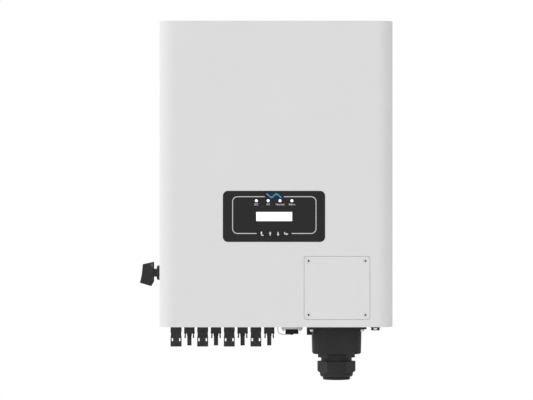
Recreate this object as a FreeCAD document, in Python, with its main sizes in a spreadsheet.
import FreeCAD, Part
import math
import os
import re
import Sketcher

# A wall-hung three-phase string inverter.
#
# +Z is up, +X is to the right seen from the front, and the front faces -Y. The wall
# is the plane Y = 0, and the origin is the centre of the wall bracket's four holes.
# Two helpers turn the sizes that people measure into the frame:
#   above(h)    a Z, h above the bottom edge of the front cover
#   behind(d)   a Y, d behind the flat face of the front cover

SIZES = {
    # How far a cut starts outside a face, and how far one feature runs into the next
    "overrun": 1,
    # Whole unit
    "body_width": 330,
    "body_height": 432,
    "unit_depth": 206,
    "bolts_above_body": 290,
    # Front cover: a die-cast tray whose skirt overlaps the housing
    "cover_depth": 42,
    "cover_wall": 2.5,
    "cover_edge_radius": 21.5,
    "cover_clearance": 0.3,
    "cover_rib": 3,
    "cover_rib_inset": 3,
    # Main housing: a tub that opens towards the cover
    "housing_front": 28,
    "housing_back": 122,
    "housing_wall": 2.5,
    "housing_corner": 4,
    "housing_flange": 8,
    "gasket_thickness": 2,
    "gasket_width": 5,
    # Countersunk screws through the cover's skirt
    "skirt_screw_depth": 36,
    "skirt_screw_low": 60,
    "skirt_screw_radius": 1.9,
    "skirt_screw_head": 3.75,
    "skirt_screw_sink": 1.9,
    "skirt_screw_length": 9,
    "screw_socket_radius": 1.4,
    "screw_socket_depth": 1.2,
    "screw_clearance": 0.1,
    # Heat sink
    "sink_inset": 20,
    "sink_base": 8,
    "fin_length": 60,
    "fin_thickness": 2.5,
    "fin_pitch": 10,
    "fin_count": 23,
    "side_fin": 5,
    "sink_screw_radius": 2.5,
    "sink_screw_head": 4.25,
    "sink_screw_head_height": 3,
    "sink_screw_grip": 5,
    "sink_screw_x": 115,
    "sink_screw_edge": 40,
    "sink_screw_socket": 2,
    # Hanger on the heat sink, and the bracket on the wall
    "hanger_sheet": 3,
    "hanger_half_width": 100,
    "hanger_low": -30,
    "hanger_rest_gap": 0.3,
    "hook_play": 1.5,
    "hook_drop": 14,
    "bracket_sheet": 2.5,
    "bracket_half_width": 120,
    "bracket_low": -70,
    "bracket_shelf": 60,
    "bracket_lip": 18,
    "bracket_reach": 12,
    "bolt_spacing_x": 200,
    "bolt_spacing_z": 100,
    "bolt_hole_radius": 4.5,
    "ear_half_height": 20,
    "ear_reach": 40,
    "ear_gap": 0.5,
    "lock_screw_radius": 2.9,
    "lock_screw_head": 5,
    "lock_screw_head_height": 4,
    "lock_screw_length": 13,
    "lock_screw_out": 30,
    "lock_screw_socket": 2.5,
    # Display panel
    "display_x": -2.95,
    "display_height": 156.2,
    "display_width": 143.7,
    "display_tall": 71.6,
    "display_corner": 7,
    "display_proud": 0.4,
    "display_gap": 0.2,
    "display_lip": 4,
    "display_lip_thickness": 2,
    "window_width": 50.5,
    "window_tall": 12.8,
    "window_x": -2.7,
    "window_height": 156,
    "window_thickness": 2,
    "window_ledge": 1,
    "led_first_x": -27.8,
    "led_pitch": 16.7,
    "led_height": 178.3,
    "led_radius": 2,
    "key_first_x": -19.6,
    "key_pitch": 11.2,
    "key_height": 131.7,
    "key_size": 8,
    "key_corner": 0.8,
    "key_gap": 0.2,
    "key_flange": 0.9,
    "key_flange_thickness": 1,
    "key_travel": 0.5,
    "key_stem_radius": 1.5,
    "key_plunger_gap": 0.1,
    "plunger_radius": 1.7,
    "plunger_length": 1,
    "display_board_depth": 14,
    "display_board_half_x": 64,
    "display_board_half_z": 30,
    "board_thickness": 1.6,
    "display_boss_radius": 3,
    "display_boss_inset": 5,
    "display_socket_tall": 10,
    "display_socket_height": 8,
    "lcd_side": 4,
    "lcd_corner": 1,
    "lcd_gap": 0.2,
    "key_switch_size": 6,
    "switch_tall": 4,
    # Cover over the AC terminals, flush in a recess of the front cover
    "access_x": 85.9,
    "access_height": 55.4,
    "access_width": 92.4,
    "access_tall": 88.6,
    "access_corner": 3.3,
    "access_gap": 0.5,
    "access_plate": 1.8,
    "access_gasket": 1,
    "access_screw_x": 80.1,
    "access_screw_z": 76.1,
    "access_screw_head": 3.45,
    "access_screw_sink": 1.4,
    "access_screw_radius": 1.9,
    "access_screw_grip": 2,
    "access_opening_x": 68,
    "access_opening_z": 64,
    "access_boss": 5,
    "access_boss_depth": 7,
    # Row of solar connectors under the housing
    "underside_depth": 75,
    "connector_first_x": -143.3,
    "connector_pitch": 19.1,
    "connector_width": 15.6,
    "connector_waist": 14.5,
    "connector_shoulder": 11.7,
    "connector_waist_end": 19,
    "connector_length": 30.8,
    "connector_thick": 13,
    "connector_corner": 3.5,
    "window_slot_x": 5.3,
    "window_slot_width": 2.2,
    "window_slot_tall": 4.7,
    "window_slot_below": 21.2,
    "socket_radius": 3.9,
    "socket_deep": 20,
    "plug_width": 15,
    "latch_x": 5.7,
    "latch_thickness": 1.5,
    "latch_wide": 5,
    "latch_end": 18.4,
    "stem_radius": 3.08,
    "stem_collar_radius": 3.5,
    "stem_collar_end": 15.6,
    "stem_end": 29.4,
    "stem_bore": 1.9,
    "shank_radius": 6,
    "shank_gap": 0.1,
    "shank_rise": 14,
    "nut_across_corners": 18,
    "nut_thickness": 5,
    "contact_radius": 1.5,
    "contact_bore_gap": 0.4,
    "pin_recess": 6,
    "sleeve_recess": 1,
    "contact_rise": 4,
    "connector_step": 2,
    # Communication port with its rubber cap on a tether
    "port_x": 23,
    "port_width": 30.4,
    "port_thick": 12.5,
    "port_below": 5.9,
    "port_opening_x": 20,
    "port_opening_y": 10,
    "port_corner": 1.5,
    "port_back_gap": 0.3,
    "port_back_rise": 6,
    "shell_width": 16.9,
    "shell_thick": 8.4,
    "shell_wall": 0.8,
    "shell_reach": 5.2,
    "jack_spacing": 24,
    "jack_radius": 2.6,
    "jack_reach": 2.9,
    "jack_shank_radius": 1.5,
    "jack_thread_radius": 1,
    "jack_grip": 1.9,
    "jack_floor": 0.5,
    "jack_hole_depth": 2,
    "cap_width": 18.8,
    "cap_thick": 10.6,
    "cap_below": 12.8,
    "cap_gap": 0.3,
    "cap_fit": 0.15,
    "cap_corner": 2,
    "nub_radius": 2,
    "nub_below": 14.2,
    "tether_x": 2.4,
    "tether_end_below": 13.5,
    "tether_radius": 0.5,
    "anchor_radius": 1.8,
    "anchor_height": 1.2,
    # AC outlet box and its cable gland
    "outlet_x": 87,
    "outlet_front_gap": 1,
    "outlet_rim_x": 6.8,
    "outlet_rim_y": 4,
    "outlet_flange_below": 6.2,
    "outlet_flange_corner": 5,
    "outlet_gasket": 1.5,
    "outlet_gasket_inset": 1,
    "outlet_side_x": 8.5,
    "outlet_side_y": 6,
    "outlet_corner": 18,
    "outlet_draft": 1.4,
    "outlet_below": 41.1,
    "outlet_wall": 3,
    "outlet_screw_rim_x": 6.3,
    "outlet_screw_rim_y": 6,
    "outlet_screw_radius": 2.5,
    "outlet_screw_head": 3.4,
    "outlet_screw_head_height": 2.4,
    "outlet_screw_length": 16,
    "outlet_screw_socket": 1.5,
    "outlet_opening_rim": 8,
    "lug_width": 7,
    "lug_below": 14.4,
    "lug_start": 12,
    "lug_end": 23,
    "gland_thread_radius": 20,
    "gland_tail_step": 1.2,
    "gland_thread_gap": 0.2,
    "gland_wall": 2,
    "gland_collar_rim": 6.6,
    "gland_collar_end": 46.9,
    "gland_neck_step": 0.9,
    "gland_neck_end": 51.5,
    "gland_tail_end": 65,
    "gland_locknut_rim": 7,
    "gland_locknut_thickness": 6,
    "gland_thread_over": 2,
    "gland_nut_rim": 6.15,
    "gland_nut_gap": 0.3,
    "gland_nut_hex_end": 66.2,
    "gland_nut_chamfer": 3.4,
    "gland_nut_wall": 2.6,
    "gland_nut_dome_start": 69.5,
    "gland_nut_end": 74.6,
    "gland_nut_crown": 2.9,
    "gland_nut_lip": 1.3,
    "gland_thread_clearance": 0.1,
    "gland_ring_gap": 0.3,
    "gland_ring_play": 0.5,
    "gland_ring_end": 71,
    "gland_seal_gap": 0.2,
    "gland_seal_rim_gap": 0.3,
    "gland_seal_rim_start": 74.9,
    "gland_seal_edge": 0.9,
    "gland_seal_end": 78.5,
    "gland_seal_top": 52,
    "cable_radius": 13,
    # Pressure vent
    "vent_x": 142.8,
    "vent_radius": 6.45,
    "vent_below": 7.4,
    "vent_slot": 3.1,
    "vent_slot_top": 1.6,
    "vent_slot_end": 5.4,
    "vent_shank": 4,
    "vent_rise": 9,
    # DC switch
    "switch_height": 74.7,
    "switch_depth": 85,
    "escutcheon_radius": 10.45,
    "escutcheon_thickness": 9,
    "escutcheon_chamfer": 1.2,
    "switch_shaft_radius": 4,
    "switch_shaft_gap": 0.05,
    "switch_bore_gap": 0.3,
    "knob_bore_end_gap": 0.2,
    "switch_shaft_reach": 17.8,
    "switch_shaft_deep": 47.7,
    "switch_bushing": 8,
    "switch_body_deep": 55.7,
    "switch_body_half": 29,
    "switch_slot_tall": 6,
    "switch_slot_depth": 3,
    "switch_seal_radius": 6.5,
    "switch_seal_thickness": 3,
    "knob_neck_radius": 6.05,
    "knob_neck_gap": 0.3,
    "knob_standoff": 4.1,
    "knob_neck_root": 2,
    "knob_thickness": 13,
    "knob_edge": 1.2,
    # Earth terminal on the heat sink's side
    "earth_height": 46,
    "earth_screw_radius": 2.5,
    "earth_screw_head": 3.8,
    "earth_screw_head_height": 3.5,
    "earth_screw_length": 10,
    # Inside the housing
    "module_width": 60,
    "module_tall": 45,
    "module_pitch": 66,
    "module_down": 132,
    "module_front": 107,
    "module_window_x": 205,
    "module_window_z": 60,
    "power_board_depth": 100,
    "power_board_half": 145,
    "power_board_low": 172,
    "power_board_top_gap": 20,
    "driver_side": 20,
    "driver_height": 3,
    "control_board_depth": 48,
    "control_board_left": -150,
    "control_board_right": 8,
    "control_board_low": 200,
    "control_board_high": 300,
    "processor_size": 28,
    "processor_height": 2,
    "header_width": 36,
    "header_tall": 9,
    "header_height": 8,
    "header_side": 30,
    "header_down": 12,
    "standoff_radius": 3.5,
    "standoff_inset": 8,
    "capacitor_radius": 16,
    "capacitor_down": 52,
    "capacitor_length": 42,
    "capacitor_pitch": 40,
    "relay_width": 22,
    "relay_tall": 30,
    "relay_height": 195,
    "relay_length": 20,
    "relay_pitch": 30,
    "relay_first_x": 40,
    "inductor_width": 44,
    "inductor_tall": 46,
    "inductor_height": 140,
    "inductor_front": 66,
    "inductor_pitch": 56,
    "terminal_width": 80,
    "terminal_low": 46,
    "terminal_high": 80,
    "terminal_front": 74,
    "terminal_pole_pitch": 15,
    "terminal_mouth_radius": 4,
    "terminal_mouth_depth": 14,
    "terminal_mouth_behind": 12,
    "terminal_screw_radius": 3.5,
    "terminal_screw_gap": 0.5,
    "terminal_screw_height": 5,
    "terminal_screw_sink": 1,
    "terminal_screw_down": 10,
}

POLES = 5
CONNECTOR_PAIRS = 4
LEDS = 4
MODULES = 3
CHOKES = 3
CAPACITORS = 6
RELAYS = 4
SKIRT_SCREWS = 4
SWITCH_SLOTS = 3
DIRECTIONS = {
    "x": FreeCAD.Vector(1, 0, 0),
    "y": FreeCAD.Vector(0, 1, 0),
    "z": FreeCAD.Vector(0, 0, 1),
    "-x": FreeCAD.Vector(-1, 0, 0),
    "-y": FreeCAD.Vector(0, -1, 0),
    "-z": FreeCAD.Vector(0, 0, -1),
}

doc = FreeCAD.newDocument("StringInverter")
sheet = doc.addObject("Spreadsheet::Sheet", "Sizes")
for line, (size_name, size) in enumerate(SIZES.items(), start=1):
    sheet.set(f"A{line}", size_name)
    sheet.set(f"B{line}", str(size))
    sheet.setAlias(f"B{line}", size_name)
doc.recompute()


# ---------------------------------------------------------------- formulas

def formula(text):
    """A formula in size names, such as "body_width / 2", as an expression on the sheet."""
    return re.sub(r"[a-z][a-z_]*", lambda word: "Sizes." + word.group(0), str(text))


def above(height):
    return f"({height} - bolts_above_body)"


def behind(depth):
    return f"({depth} - unit_depth)"


def around(centre, width):
    """The low and high formulas of a width centred on a place."""
    return (f"({centre}) - ({width}) / 2", f"({centre}) + ({width}) / 2")


def four_places(centre_a, pitch_a, centre_b, pitch_b):
    """The corners of a rectangular pattern, as pairs of formulas."""
    return [(f"{centre_a} + {side_a} * ({pitch_a}) / 2", f"{centre_b} + {side_b} * ({pitch_b}) / 2")
            for side_a in ("-1", "1") for side_b in ("-1", "1")]


HOUSING_SIDE = "(body_width / 2 - cover_wall - cover_clearance)"
HOUSING_LOW = above("cover_wall + cover_clearance")
HOUSING_TOP = above("body_height - cover_wall - cover_clearance")
INSIDE_BACK = behind("housing_back - housing_wall")
SINK_SIDE = "(fin_pitch * (fin_count + 1) / 2 + side_fin)"
UNDERSIDE_Y = behind("underside_depth")

# The outlet box and its gland, sized from the gland's thread
GLAND_BORE = "(gland_thread_radius - gland_wall)"
COLLAR_CORNERS = "(2 * (gland_thread_radius + gland_collar_rim))"
LOCKNUT_CORNERS = "(2 * (gland_thread_radius + gland_locknut_rim))"
TAIL_RADIUS = "(gland_thread_radius + gland_tail_step)"
NECK_RADIUS = f"({TAIL_RADIUS} + gland_neck_step)"
NUT_CORNERS = f"(2 * ({TAIL_RADIUS} + gland_nut_rim))"
DOME_RADIUS = f"({TAIL_RADIUS} + gland_thread_clearance + gland_nut_wall)"
CROWN_RADIUS = f"({DOME_RADIUS} - gland_nut_crown)"
MOUTH_RADIUS = f"({TAIL_RADIUS} - gland_nut_lip)"
SEAL_RIM = f"({MOUTH_RADIUS} - gland_seal_rim_gap)"
OUTLET_WIDTH = f"({LOCKNUT_CORNERS} + 2 * outlet_side_x)"
OUTLET_THICK = f"({LOCKNUT_CORNERS} + 2 * outlet_side_y)"
FLANGE_X = f"({OUTLET_WIDTH} + 2 * outlet_rim_x)"
FLANGE_Y = f"({OUTLET_THICK} + 2 * outlet_rim_y)"
OUTLET_SCREW_X = f"({FLANGE_X} - 2 * outlet_screw_rim_x)"
OUTLET_SCREW_Y = f"({FLANGE_Y} - 2 * outlet_screw_rim_y)"
OUTLET_OPENING = "(2 * (gland_thread_radius + outlet_opening_rim))"
GLAND_Y = behind(f"(cover_depth + outlet_front_gap + {FLANGE_Y} / 2)")


# ---------------------------------------------------------------- features

def new_body(name):
    body = doc.addObject("PartDesign::Body", name)
    body.Label = name
    body.AllowCompound = True
    return body


def bind(thing, **formulas):
    for name, text in formulas.items():
        thing.setExpression(name.replace("_at_", "."), formula(text))


def box(body, name, x, y, z, cut=False):
    """A block between a low and a high formula along each axis."""
    block = body.newObject(f"PartDesign::{'Subtractive' if cut else 'Additive'}Box", name)
    for size_of, axis, (low, high) in zip(("Length", "Width", "Height"), "xyz", (x, y, z)):
        block.setExpression(size_of, formula(f"({high}) - ({low})"))
        block.setExpression(f"Placement.Base.{axis}", formula(low))
    return block


def turn_to(feature, direction, centre, start):
    """Stand a feature made along Z on a start plane, at a centre given by its other two axes."""
    feature.Placement = FreeCAD.Placement(
        FreeCAD.Vector(), FreeCAD.Rotation(DIRECTIONS["z"], DIRECTIONS[direction]))
    axis = direction[-1]
    places = dict(zip([other for other in "xyz" if other != axis], centre))
    places[axis] = start
    for other, text in places.items():
        feature.setExpression(f"Placement.Base.{other}", formula(text))


def rod(body, name, axis, centre, span, radius, cut=False):
    """A cylinder along an axis, between the two formulas of span."""
    bar = body.newObject(f"PartDesign::{'Subtractive' if cut else 'Additive'}Cylinder", name)
    low, high = span
    bind(bar, Radius=radius, Height=f"({high}) - ({low})")
    turn_to(bar, axis, centre, low)
    return bar


def rounded_cut(body, name, axis, spans, corner):
    """A rectangular hole along an axis with round corners: two crossed blocks and four rods."""
    across, up = [other for other in "xyz" if other != axis]
    for number, narrowed in enumerate((across, up)):
        block = dict(spans)
        low, high = spans[narrowed]
        block[narrowed] = (f"{low} + {corner}", f"{high} - {corner}")
        box(body, f"{name}Block{number}", block["x"], block["y"], block["z"], cut=True)
    number = 0
    for side in (f"{spans[across][0]} + {corner}", f"{spans[across][1]} - {corner}"):
        for height in (f"{spans[up][0]} + {corner}", f"{spans[up][1]} - {corner}"):
            rod(body, f"{name}Corner{number}", axis, (side, height), spans[axis], corner, cut=True)
            number += 1


def cone(body, name, direction, centre, start, height, radii, cut=False):
    """A cone that starts on a plane with its first radius and ends with its second."""
    taper = body.newObject(f"PartDesign::{'Subtractive' if cut else 'Additive'}Cone", name)
    bind(taper, Radius1=radii[0], Radius2=radii[1], Height=height)
    turn_to(taper, direction, centre, start)
    return taper


def hexagon(body, name, axis, centre, span, across_corners, cut=False):
    """A six-sided prism along an axis."""
    prism = body.newObject(f"PartDesign::{'Subtractive' if cut else 'Additive'}Prism", name)
    prism.Polygon = 6
    low, high = span
    bind(prism, Circumradius=f"({across_corners}) / 2", Height=f"({high}) - ({low})")
    turn_to(prism, axis, centre, low)
    return prism


def origin_plane(body, role):
    return next(item for item in body.Origin.OriginFeatures if item.Role == role)


def sketch(body, name, role, offsets, loops):
    """Closed outlines on an origin plane. Each corner is held at its pair of formulas."""
    drawing = body.newObject("Sketcher::SketchObject", name)
    drawing.AttachmentSupport = [(origin_plane(body, role), "")]
    drawing.MapMode = "FlatFace"
    for axis, text in offsets.items():
        drawing.setExpression(f"AttachmentOffset.Base.{axis}", formula(text))
    for corners in loops:
        first = drawing.GeometryCount
        count = len(corners)
        ring = Part.makeCircle(10).discretize(count + 1)
        for number in range(count):
            drawing.addGeometry(Part.LineSegment(ring[number], ring[number + 1]))
        for number in range(count):
            following = first + (number + 1) % count
            drawing.addConstraint(
                Sketcher.Constraint("Coincident", first + number, 2, following, 1))
        for number, corner in enumerate(corners, start=first):
            start = ring[number - first]
            for kind, text, value in zip(("DistanceX", "DistanceY"), corner, start):
                index = drawing.addConstraint(
                    Sketcher.Constraint(kind, -1, 1, number, 1, value))
                drawing.renameConstraint(index, f"{kind}{number}")
                drawing.setExpression(f"Constraints.{kind}{number}", formula(text))
    return drawing


def plate(body, name, role, span, loops, draft=None):
    """Outlines padded between the two formulas of span along the plane's normal axis."""
    low, high = span
    start = f"-({high})" if role == "XZ_Plane" else low
    drawing = sketch(body, name + "Outline", role, {"z": start}, loops)
    pad = body.newObject("PartDesign::Pad", name)
    pad.Profile = drawing
    bind(pad, Length=f"({high}) - ({low})")
    if draft:
        bind(pad, TaperAngle=draft)
    return pad


def turned(body, name, x, y, corners):
    """A half section, as pairs of radius and Z, turned about the upright axis at x, y."""
    drawing = sketch(body, name + "Section", "XZ_Plane", {"x": x, "z": f"-({y})"}, [corners])
    solid = body.newObject("PartDesign::Revolution", name)
    solid.Profile = drawing
    solid.ReferenceAxis = (drawing, ["V_Axis"])
    solid.Angle = 360
    return solid


def rectangle(x, z):
    """The four corners of a rectangle between two pairs of formulas."""
    return [(x[0], z[0]), (x[1], z[0]), (x[1], z[1]), (x[0], z[1])]


def corner_edges(shape, axis, share=0.5, slack=1e-3, **at):
    """Edges along an axis on the corners of the shape's box, or on the sides given.

    share is the least length of such an edge, as a share of the box's. slack is how far
    it may lean, on a drafted shape.
    """
    found = []
    bounds = shape.BoundBox
    length = f"{axis.upper()}Length"
    for number, edge in enumerate(shape.Edges, start=1):
        reach = edge.BoundBox
        if getattr(reach, length) < getattr(bounds, length) * share:
            continue
        fits = True
        for other in "xyz".replace(axis, "").upper():
            low = abs(getattr(reach, other + "Max") - getattr(bounds, other + "Min")) < slack
            high = abs(getattr(reach, other + "Min") - getattr(bounds, other + "Max")) < slack
            side = at.get(other.lower())
            fits = fits and {"low": low, "high": high, None: low or high}[side]
        if fits:
            found.append(f"Edge{number}")
    return found


def end_edges(shape, axis, end):
    """Every edge that lies in the shape's low or high end plane across an axis."""
    bounds = shape.BoundBox
    level = getattr(bounds, axis.upper() + ("Min" if end == "low" else "Max"))
    found = []
    for number, edge in enumerate(shape.Edges, start=1):
        reach = edge.BoundBox
        low = getattr(reach, axis.upper() + "Min")
        high = getattr(reach, axis.upper() + "Max")
        if abs(low - level) < 1e-3 and abs(high - level) < 1e-3:
            found.append(f"Edge{number}")
    return found


def dress(body, kind, name, size_formula, edges):
    """A fillet or a chamfer on edges of the body's last feature."""
    base = body.Tip
    detail = body.newObject(f"PartDesign::{kind}", name)
    detail.Base = (base, edges)
    bind(detail, **{"Radius" if kind == "Fillet" else "Size": size_formula})
    doc.recompute()
    return detail


def round_corners(body, name, radius, axis, **at):
    doc.recompute()
    return dress(body, "Fillet", name, radius, corner_edges(body.Tip.Shape, axis, **at))


def hollow(body, name, wall, axis, end):
    """Turn the last feature into a shell of one wall, open at one end."""
    doc.recompute()
    base = body.Tip
    faces = []
    level = getattr(base.Shape.BoundBox, axis.upper() + ("Min" if end == "low" else "Max"))
    for number, face in enumerate(base.Shape.Faces, start=1):
        reach = face.BoundBox
        if abs(getattr(reach, axis.upper() + "Min") - level) < 1e-3:
            if abs(getattr(reach, axis.upper() + "Max") - level) < 1e-3:
                faces.append(f"Face{number}")
    shell = body.newObject("PartDesign::Thickness", name)
    shell.Base = (base, faces)
    shell.Mode = 0
    shell.Join = 0
    shell.Reversed = True
    bind(shell, Value=wall)
    doc.recompute()
    return shell


def repeat(body, name, feature, axis, length, count):
    """Copies of one feature in a row along an axis."""
    row = body.newObject("PartDesign::LinearPattern", name)
    row.Originals = [feature]
    row.Direction = (origin_plane(body, f"{axis.upper()}_Axis"), [""])
    bind(row, Length=length, Occurrences=count)
    body.Tip = row
    doc.recompute()
    return row


# ---------------------------------------------------------------- casing

SKIRT_SCREW_PITCH = f"(body_height - 2 * skirt_screw_low) / {SKIRT_SCREWS - 1}"


def skirt_screw_places():
    """Side, direction inwards and height of each countersunk screw in the cover's skirt."""
    for side, inwards in (("-1", "x"), ("1", "-x")):
        for number in range(SKIRT_SCREWS):
            height = f"skirt_screw_low + {number} * ({SKIRT_SCREW_PITCH})"
            yield side, inwards, (behind("skirt_screw_depth"), above(height))


def front_cover():
    body = new_body("front_cover")
    box(body, "CoverBlock",
        around("0", "body_width"),
        (behind("0"), behind("cover_depth")),
        (above("0"), above("body_height")))
    round_corners(body, "CoverEdges", "cover_edge_radius", "z", y="low")
    hollow(body, "CoverShell", "cover_wall", "y", "high")
    outer = "cover_wall + cover_clearance + cover_rib_inset"
    inner = f"{outer} + cover_rib"
    loops = []
    for inset in (outer, inner):
        loops.append(rectangle(
            (f"-(body_width / 2 - ({inset}))", f"body_width / 2 - ({inset})"),
            (above(inset), above(f"body_height - ({inset})"))))
    rib_end = behind("housing_front - gasket_thickness")
    rib_start = behind("cover_edge_radius / 2 - cover_rib / 2")
    plate(body, "SealingRib", "XZ_Plane", (rib_start, rib_end), loops)
    flat = "body_width / 2 - cover_edge_radius"
    for number, (low, high) in enumerate((
            (above(outer), above(inner)),
            (above(f"body_height - ({inner})"), above(f"body_height - ({outer})")))):
        box(body, f"RibRoot{number}", (f"-({flat})", flat),
            (behind("cover_wall / 2"), f"{rib_start} + overrun"), (low, high))
    box(body, "TerminalBoss",
        around("access_x", "access_width + 2 * access_boss"),
        (behind("cover_wall / 2"), behind("access_boss_depth")),
        around(above("access_height"), "access_tall + 2 * access_boss"))
    terminal_opening(body)
    display_opening(body)
    for number, (side, inwards, place) in enumerate(skirt_screw_places()):
        cone(body, f"SkirtSink{number}", inwards, place, f"{side} * body_width / 2",
             "skirt_screw_sink",
             ("skirt_screw_head + screw_clearance", "skirt_screw_radius + screw_clearance"),
             cut=True)
    for number, (side, inwards, place) in enumerate(skirt_screw_places()):
        ends = ["-body_width / 2", "cover_wall * 2 - body_width / 2"]
        if side == "1":
            ends = ["body_width / 2 - cover_wall * 2", "body_width / 2"]
        rod(body, f"SkirtHole{number}", "x", place, ends,
            "skirt_screw_radius + screw_clearance", cut=True)
    return body


def terminal_opening(body):
    """The recess for the terminal cover, its opening and its four screw holes."""
    box(body, "TerminalRecess",
        around("access_x", "access_width + 2 * access_gap"),
        (behind("-overrun"), behind("access_plate + access_gasket")),
        around(above("access_height"), "access_tall + 2 * access_gap"), cut=True)
    box(body, "TerminalOpening",
        around("access_x", "access_opening_x"),
        (behind("0"), behind("access_boss_depth + overrun")),
        around(above("access_height"), "access_opening_z"), cut=True)
    for number, (x, z) in enumerate(access_screw_places()):
        rod(body, f"TerminalHole{number}", "y", (x, z),
            (behind("0"), behind("access_boss_depth + overrun")),
            "access_screw_radius + screw_clearance", cut=True)


def display_opening(body):
    """A rounded opening that the display panel passes through."""
    rounded_cut(body, "DisplayOpening", "y",
                {"x": around("display_x", "display_width + 2 * display_gap"),
                 "y": (behind("-overrun"), behind("cover_wall + overrun")),
                 "z": around(above("display_height"), "display_tall + 2 * display_gap")},
                "(display_corner + display_gap)")


def cover_gasket():
    body = new_body("cover_gasket")
    inset = "cover_wall + cover_clearance + cover_rib_inset + cover_rib / 2 - gasket_width / 2"
    loops = []
    for edge in (inset, f"{inset} + gasket_width"):
        loops.append(rectangle(
            (f"-(body_width / 2 - ({edge}))", f"body_width / 2 - ({edge})"),
            (above(edge), above(f"body_height - ({edge})"))))
    plate(body, "Gasket", "XZ_Plane",
          (behind("housing_front - gasket_thickness"), behind("housing_front")), loops)
    return body


def cover_screws():
    body = new_body("cover_screws")
    for number, (side, inwards, place) in enumerate(skirt_screw_places()):
        cone(body, f"Head{number}", inwards, place, f"{side} * body_width / 2",
             "skirt_screw_sink", ("skirt_screw_head", "skirt_screw_radius"))
        inner = f"{side} * (body_width / 2 - skirt_screw_length)"
        ends = [f"{side} * (body_width / 2 - skirt_screw_sink)", inner]
        if side == "1":
            ends.reverse()
        rod(body, f"Shank{number}", "x", place, ends, "skirt_screw_radius")
        mouth = [f"{side} * (body_width / 2 + overrun)",
                 f"{side} * (body_width / 2 - screw_socket_depth)"]
        if side == "1":
            mouth.reverse()
        rod(body, f"Socket{number}", "x", place, mouth, "screw_socket_radius", cut=True)
    return body


def main_housing():
    body = new_body("main_housing")
    box(body, "Tub", (f"-{HOUSING_SIDE}", HOUSING_SIDE),
        (behind("housing_front"), behind("housing_back")), (HOUSING_LOW, HOUSING_TOP))
    round_corners(body, "TubCorners", "housing_corner", "y")
    hollow(body, "TubShell", "housing_wall", "y", "low")
    loops = []
    for inset in ("housing_wall / 2", "housing_flange"):
        loops.append(rectangle(
            (f"-{HOUSING_SIDE} + {inset}", f"{HOUSING_SIDE} - {inset}"),
            (f"{HOUSING_LOW} + {inset}", f"{HOUSING_TOP} - {inset}")))
    plate(body, "FrontFlange", "XZ_Plane",
          (behind("housing_front"), behind("housing_front + housing_wall")), loops)
    rod(body, "TetherStud", "z", ("tether_x", UNDERSIDE_Y),
        (f"{HOUSING_LOW} - anchor_height", f"{HOUSING_LOW} + overrun"), "anchor_radius")
    floor_span = (f"{HOUSING_LOW} - overrun", f"{HOUSING_LOW} + housing_wall + overrun")
    for number in range(2 * CONNECTOR_PAIRS):
        rod(body, f"ConnectorHole{number}", "z", connector_place(number), floor_span,
            "shank_radius + shank_gap", cut=True)
    rod(body, "VentHole", "z", ("vent_x", UNDERSIDE_Y), floor_span,
        "vent_shank + shank_gap", cut=True)
    box(body, "PortHole", around("port_x", "port_opening_x"),
        around(UNDERSIDE_Y, "port_opening_y"), floor_span, cut=True)
    rod(body, "OutletHole", "z", ("outlet_x", GLAND_Y), floor_span,
        f"{OUTLET_OPENING} / 2", cut=True)
    for number, place in enumerate(outlet_screw_places()):
        rod(body, f"OutletScrewHole{number}", "z", place, floor_span,
            "outlet_screw_radius + screw_clearance", cut=True)
    rod(body, "SwitchHole", "x", (behind("switch_depth"), above("switch_height")),
        (f"-{HOUSING_SIDE} - overrun", f"-{HOUSING_SIDE} + housing_wall + overrun"),
        "switch_bushing + shank_gap", cut=True)
    box(body, "ModuleWindow", around("0", "module_window_x"),
        (f"{INSIDE_BACK} - overrun", behind("housing_back + overrun")),
        around(above("body_height - module_down"), "module_window_z"), cut=True)
    for number, place in enumerate(sink_screw_places()):
        rod(body, f"SinkScrewHole{number}", "y", place,
            (f"{INSIDE_BACK} - overrun", behind("housing_back + overrun")),
            "sink_screw_radius + screw_clearance", cut=True)
    for number, (side, inwards, place) in enumerate(skirt_screw_places()):
        ends = [f"-{HOUSING_SIDE} - overrun", f"-{HOUSING_SIDE} + housing_wall + overrun"]
        if side == "1":
            ends = [f"{HOUSING_SIDE} - housing_wall - overrun", f"{HOUSING_SIDE} + overrun"]
        rod(body, f"CoverScrewHole{number}", "x", place, ends,
            "skirt_screw_radius + screw_clearance", cut=True)
    return body


# ---------------------------------------------------------------- heat sink and hanging

def sink_screw_places():
    for side in ("-1", "1"):
        for height in ("sink_screw_edge", "body_height / 2", "body_height - sink_screw_edge"):
            yield f"{side} * sink_screw_x", above(height)


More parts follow.
